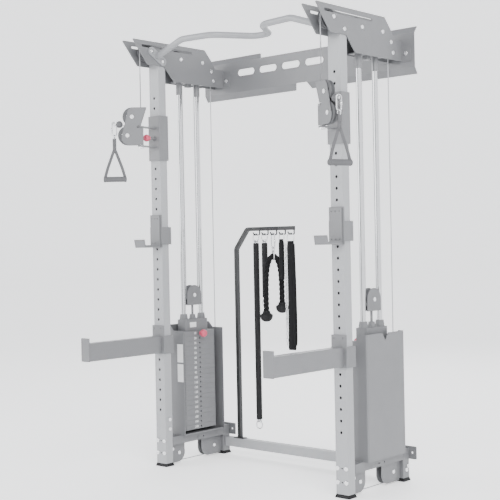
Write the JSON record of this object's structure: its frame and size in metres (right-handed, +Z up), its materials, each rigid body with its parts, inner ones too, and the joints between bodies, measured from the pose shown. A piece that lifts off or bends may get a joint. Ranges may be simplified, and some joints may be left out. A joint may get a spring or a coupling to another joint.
{
  "type": "lat pulldown machine",
  "caption": "Dual-stack functional cable trainer with sliding pulley carriages, weight stacks, J-hooks, spotter arms, pull-up bar and an accessory rack.",
  "frame": {"origin": "on the floor, midway between the two front uprights", "axes": "+Z up, -Y towards the user, +X to the machine's side with the right-hand unit"},
  "size_m": [1.443, 0.987, 2.1423],
  "materials": {
    "light_paint": "satin",
    "grey_paint": "satin",
    "silver_paint": "satin",
    "dark_paint": "satin",
    "chrome": "polished",
    "steel": "satin",
    "iron": "satin",
    "black_rubber": "matte",
    "black_plastic": "matte",
    "pink_plastic": "gloss",
    "black_webbing": "matte"
  },
  "bodies": {
    "frame": {"upright_right": "light_paint", "upright_left": "light_paint", "top_plate_outer_right": "grey_paint", "top_plate_outer_left": "grey_paint", "top_plate_inner_right": "grey_paint", "top_plate_inner_left": "grey_paint", "shroud_right": "grey_paint", "shroud_left": "grey_paint", "crossmember": "grey_paint", "crossmember_brackets": "grey_paint", "base_beams": "grey_paint", "rear_posts": "grey_paint", "base_crossbar": "grey_paint", "base_pulley_brackets": "grey_paint", "pull_up_bar": "silver_paint", "guide_rods": "chrome", "weight_plates": "iron", "guide_pulleys": "black_plastic", "frame_bolts": "steel", "accessory_rack": "dark_paint", "foot_pads": "black_rubber", "stack_bumpers": "black_rubber", "cables_right": "black_rubber", "cables_left": "black_rubber", "cable_stack_right": "black_rubber", "cable_stack_left": "black_rubber"},
    "carriage_right": {"carriage_right": "grey_paint"},
    "pop_pin_right": {"pop_pin_right": "pink_plastic"},
    "swivel_housing_right": {"swivel_housing_right": "grey_paint"},
    "upper_pulley_right": {"upper_pulley_right": "black_plastic"},
    "lower_pulley_right": {"lower_pulley_right": "black_plastic"},
    "handle_right": {"handle_clip_right": "chrome", "handle_strap_right": "black_webbing", "handle_grip_right": "black_rubber"},
    "lift_head_right": {"lift_head_right": "iron"},
    "floating_pulley_right": {"floating_pulley_right": "black_plastic"},
    "selector_pin_right": {"selector_pin_right": "pink_plastic"},
    "j_hook_right": {"j_hook_right": "grey_paint"},
    "spotter_arm_right": {"spotter_arm_right": "grey_paint"},
    "carriage_left": {"carriage_left": "grey_paint"},
    "pop_pin_left": {"pop_pin_left": "pink_plastic"},
    "swivel_housing_left": {"swivel_housing_left": "grey_paint"},
    "upper_pulley_left": {"upper_pulley_left": "black_plastic"},
    "lower_pulley_left": {"lower_pulley_left": "black_plastic"},
    "handle_left": {"handle_clip_left": "chrome", "handle_strap_left": "black_webbing", "handle_grip_left": "black_rubber"},
    "lift_head_left": {"lift_head_left": "iron"},
    "floating_pulley_left": {"floating_pulley_left": "black_plastic"},
    "selector_pin_left": {"selector_pin_left": "pink_plastic"},
    "j_hook_left": {"j_hook_left": "grey_paint"},
    "spotter_arm_left": {"spotter_arm_left": "grey_paint"},
    "long_bar": {"long_bar": "black_rubber"},
    "short_bar": {"short_bar": "black_rubber"},
    "rope": {"rope_cord": "black_webbing", "rope_ends": "black_rubber", "rope_clip": "chrome"},
    "ankle_strap": {"ankle_strap": "black_webbing"},
    "chain": {"chain": "steel"},
    "belt": {"belt": "black_webbing"}
  },
  "joints": [
    {"name": "carriage_slide_right", "type": "slide", "parent": "frame", "child": "carriage_right", "axis": [0, 0, 1], "range_m": [-0.254, 0.1016], "deforming": ["cables_right"]},
    {"name": "pop_pin_pull_right", "type": "slide", "parent": "carriage_right", "child": "pop_pin_right", "axis": [0, 1, 0], "range_m": [0, 0.012]},
    {"name": "housing_swivel_right", "type": "hinge", "parent": "carriage_right", "child": "swivel_housing_right", "pos_m": [0.57, -0.118, 1.66], "axis": [0, 0, 1], "range_deg": [-150, 15]},
    {"name": "upper_pulley_spin_right", "type": "hinge", "parent": "swivel_housing_right", "child": "upper_pulley_right", "pos_m": [0.61088, -0.13288, 1.761], "axis": [0.342, 0.9397, 0], "continuous": true},
    {"name": "lower_pulley_spin_right", "type": "hinge", "parent": "swivel_housing_right", "child": "lower_pulley_right", "pos_m": [0.63343, -0.14109, 1.668], "axis": [0.342, 0.9397, 0], "continuous": true},
    {"name": "handle_swing_right", "type": "hinge", "parent": "swivel_housing_right", "child": "handle_right", "pos_m": [0.67149, -0.15494, 1.725], "axis": [0.342, 0.9397, 0], "range_deg": [-60, 3]},
    {"name": "stack_lift_right", "type": "slide", "parent": "frame", "child": "lift_head_right", "axis": [0, 0, 1], "range_m": [0, 1], "deforming": ["cable_stack_right"]},
    {"name": "floating_pulley_spin_right", "type": "hinge", "parent": "lift_head_right", "child": "floating_pulley_right", "pos_m": [0.57, 0.218, 0.856], "axis": [1, 0, 0], "range_deg": [-5, 1335]},
    {"name": "selector_pin_pull_right", "type": "slide", "parent": "lift_head_right", "child": "selector_pin_right", "axis": [-1, 0, 0], "range_m": [0, 0.06]},
    {"name": "j_hook_pull_right", "type": "slide", "parent": "frame", "child": "j_hook_right", "axis": [0, -1, 0], "range_m": [0, 0.06]},
    {"name": "spotter_pull_right", "type": "slide", "parent": "frame", "child": "spotter_arm_right", "axis": [0, -1, 0], "range_m": [0, 0.06]},
    {"name": "carriage_slide_left", "type": "slide", "parent": "frame", "child": "carriage_left", "axis": [0, 0, 1], "range_m": [-0.254, 0.1016], "deforming": ["cables_left"]},
    {"name": "pop_pin_pull_left", "type": "slide", "parent": "carriage_left", "child": "pop_pin_left", "axis": [0, 1, 0], "range_m": [0, 0.012]},
    {"name": "housing_swivel_left", "type": "hinge", "parent": "carriage_left", "child": "swivel_housing_left", "pos_m": [-0.57, -0.118, 1.66], "axis": [0, 0, 1], "range_deg": [-40, 130]},
    {"name": "upper_pulley_spin_left", "type": "hinge", "parent": "swivel_housing_left", "child": "upper_pulley_left", "pos_m": [-0.60181, -0.14767, 1.761], "axis": [0.682, -0.7314, 0], "continuous": true},
    {"name": "lower_pulley_spin_left", "type": "hinge", "parent": "swivel_housing_left", "child": "lower_pulley_left", "pos_m": [-0.61937, -0.16403, 1.668], "axis": [0.682, -0.7314, 0], "continuous": true},
    {"name": "handle_swing_left", "type": "hinge", "parent": "swivel_housing_left", "child": "handle_left", "pos_m": [-0.64899, -0.19166, 1.725], "axis": [0.682, -0.7314, 0], "range_deg": [-60, 3]},
    {"name": "stack_lift_left", "type": "slide", "parent": "frame", "child": "lift_head_left", "axis": [0, 0, 1], "range_m": [0, 1], "deforming": ["cable_stack_left"]},
    {"name": "floating_pulley_spin_left", "type": "hinge", "parent": "lift_head_left", "child": "floating_pulley_left", "pos_m": [-0.57, 0.218, 0.856], "axis": [1, 0, 0], "range_deg": [-5, 1335]},
    {"name": "selector_pin_pull_left", "type": "slide", "parent": "lift_head_left", "child": "selector_pin_left", "axis": [1, 0, 0], "range_m": [0, 0.06]},
    {"name": "j_hook_pull_left", "type": "slide", "parent": "frame", "child": "j_hook_left", "axis": [0, -1, 0], "range_m": [0, 0.06]},
    {"name": "spotter_pull_left", "type": "slide", "parent": "frame", "child": "spotter_arm_left", "axis": [0, -1, 0], "range_m": [0, 0.06]},
    {"name": "long_bar_swing", "type": "hinge", "parent": "frame", "child": "long_bar", "pos_m": [-0.279, 0.402, 1.162], "axis": [1, 0, 0], "range_deg": [-8, 8]},
    {"name": "short_bar_swing", "type": "hinge", "parent": "frame", "child": "short_bar", "pos_m": [-0.221, 0.402, 1.162], "axis": [1, 0, 0], "range_deg": [-1, 8]},
    {"name": "rope_swing", "type": "hinge", "parent": "frame", "child": "rope", "pos_m": [-0.163, 0.402, 1.162], "axis": [1, 0, 0], "range_deg": [-6, 1]},
    {"name": "ankle_strap_swing", "type": "hinge", "parent": "frame", "child": "ankle_strap", "pos_m": [-0.105, 0.402, 1.162], "axis": [1, 0, 0], "range_deg": [-8, 8]},
    {"name": "chain_swing", "type": "hinge", "parent": "frame", "child": "chain", "pos_m": [-0.08006, 0.402, 1.162], "axis": [1, 0, 0], "range_deg": [-8, 8]},
    {"name": "belt_swing", "type": "hinge", "parent": "frame", "child": "belt", "pos_m": [-0.047, 0.402, 1.162], "axis": [1, 0, 0], "range_deg": [-8, 8]}
  ],
  "couplings": [
    {"joint": "floating_pulley_spin_right", "follows": "stack_lift_right", "rad_per_m": 23.256},
    {"joint": "floating_pulley_spin_left", "follows": "stack_lift_left", "rad_per_m": 23.256}
  ]
}
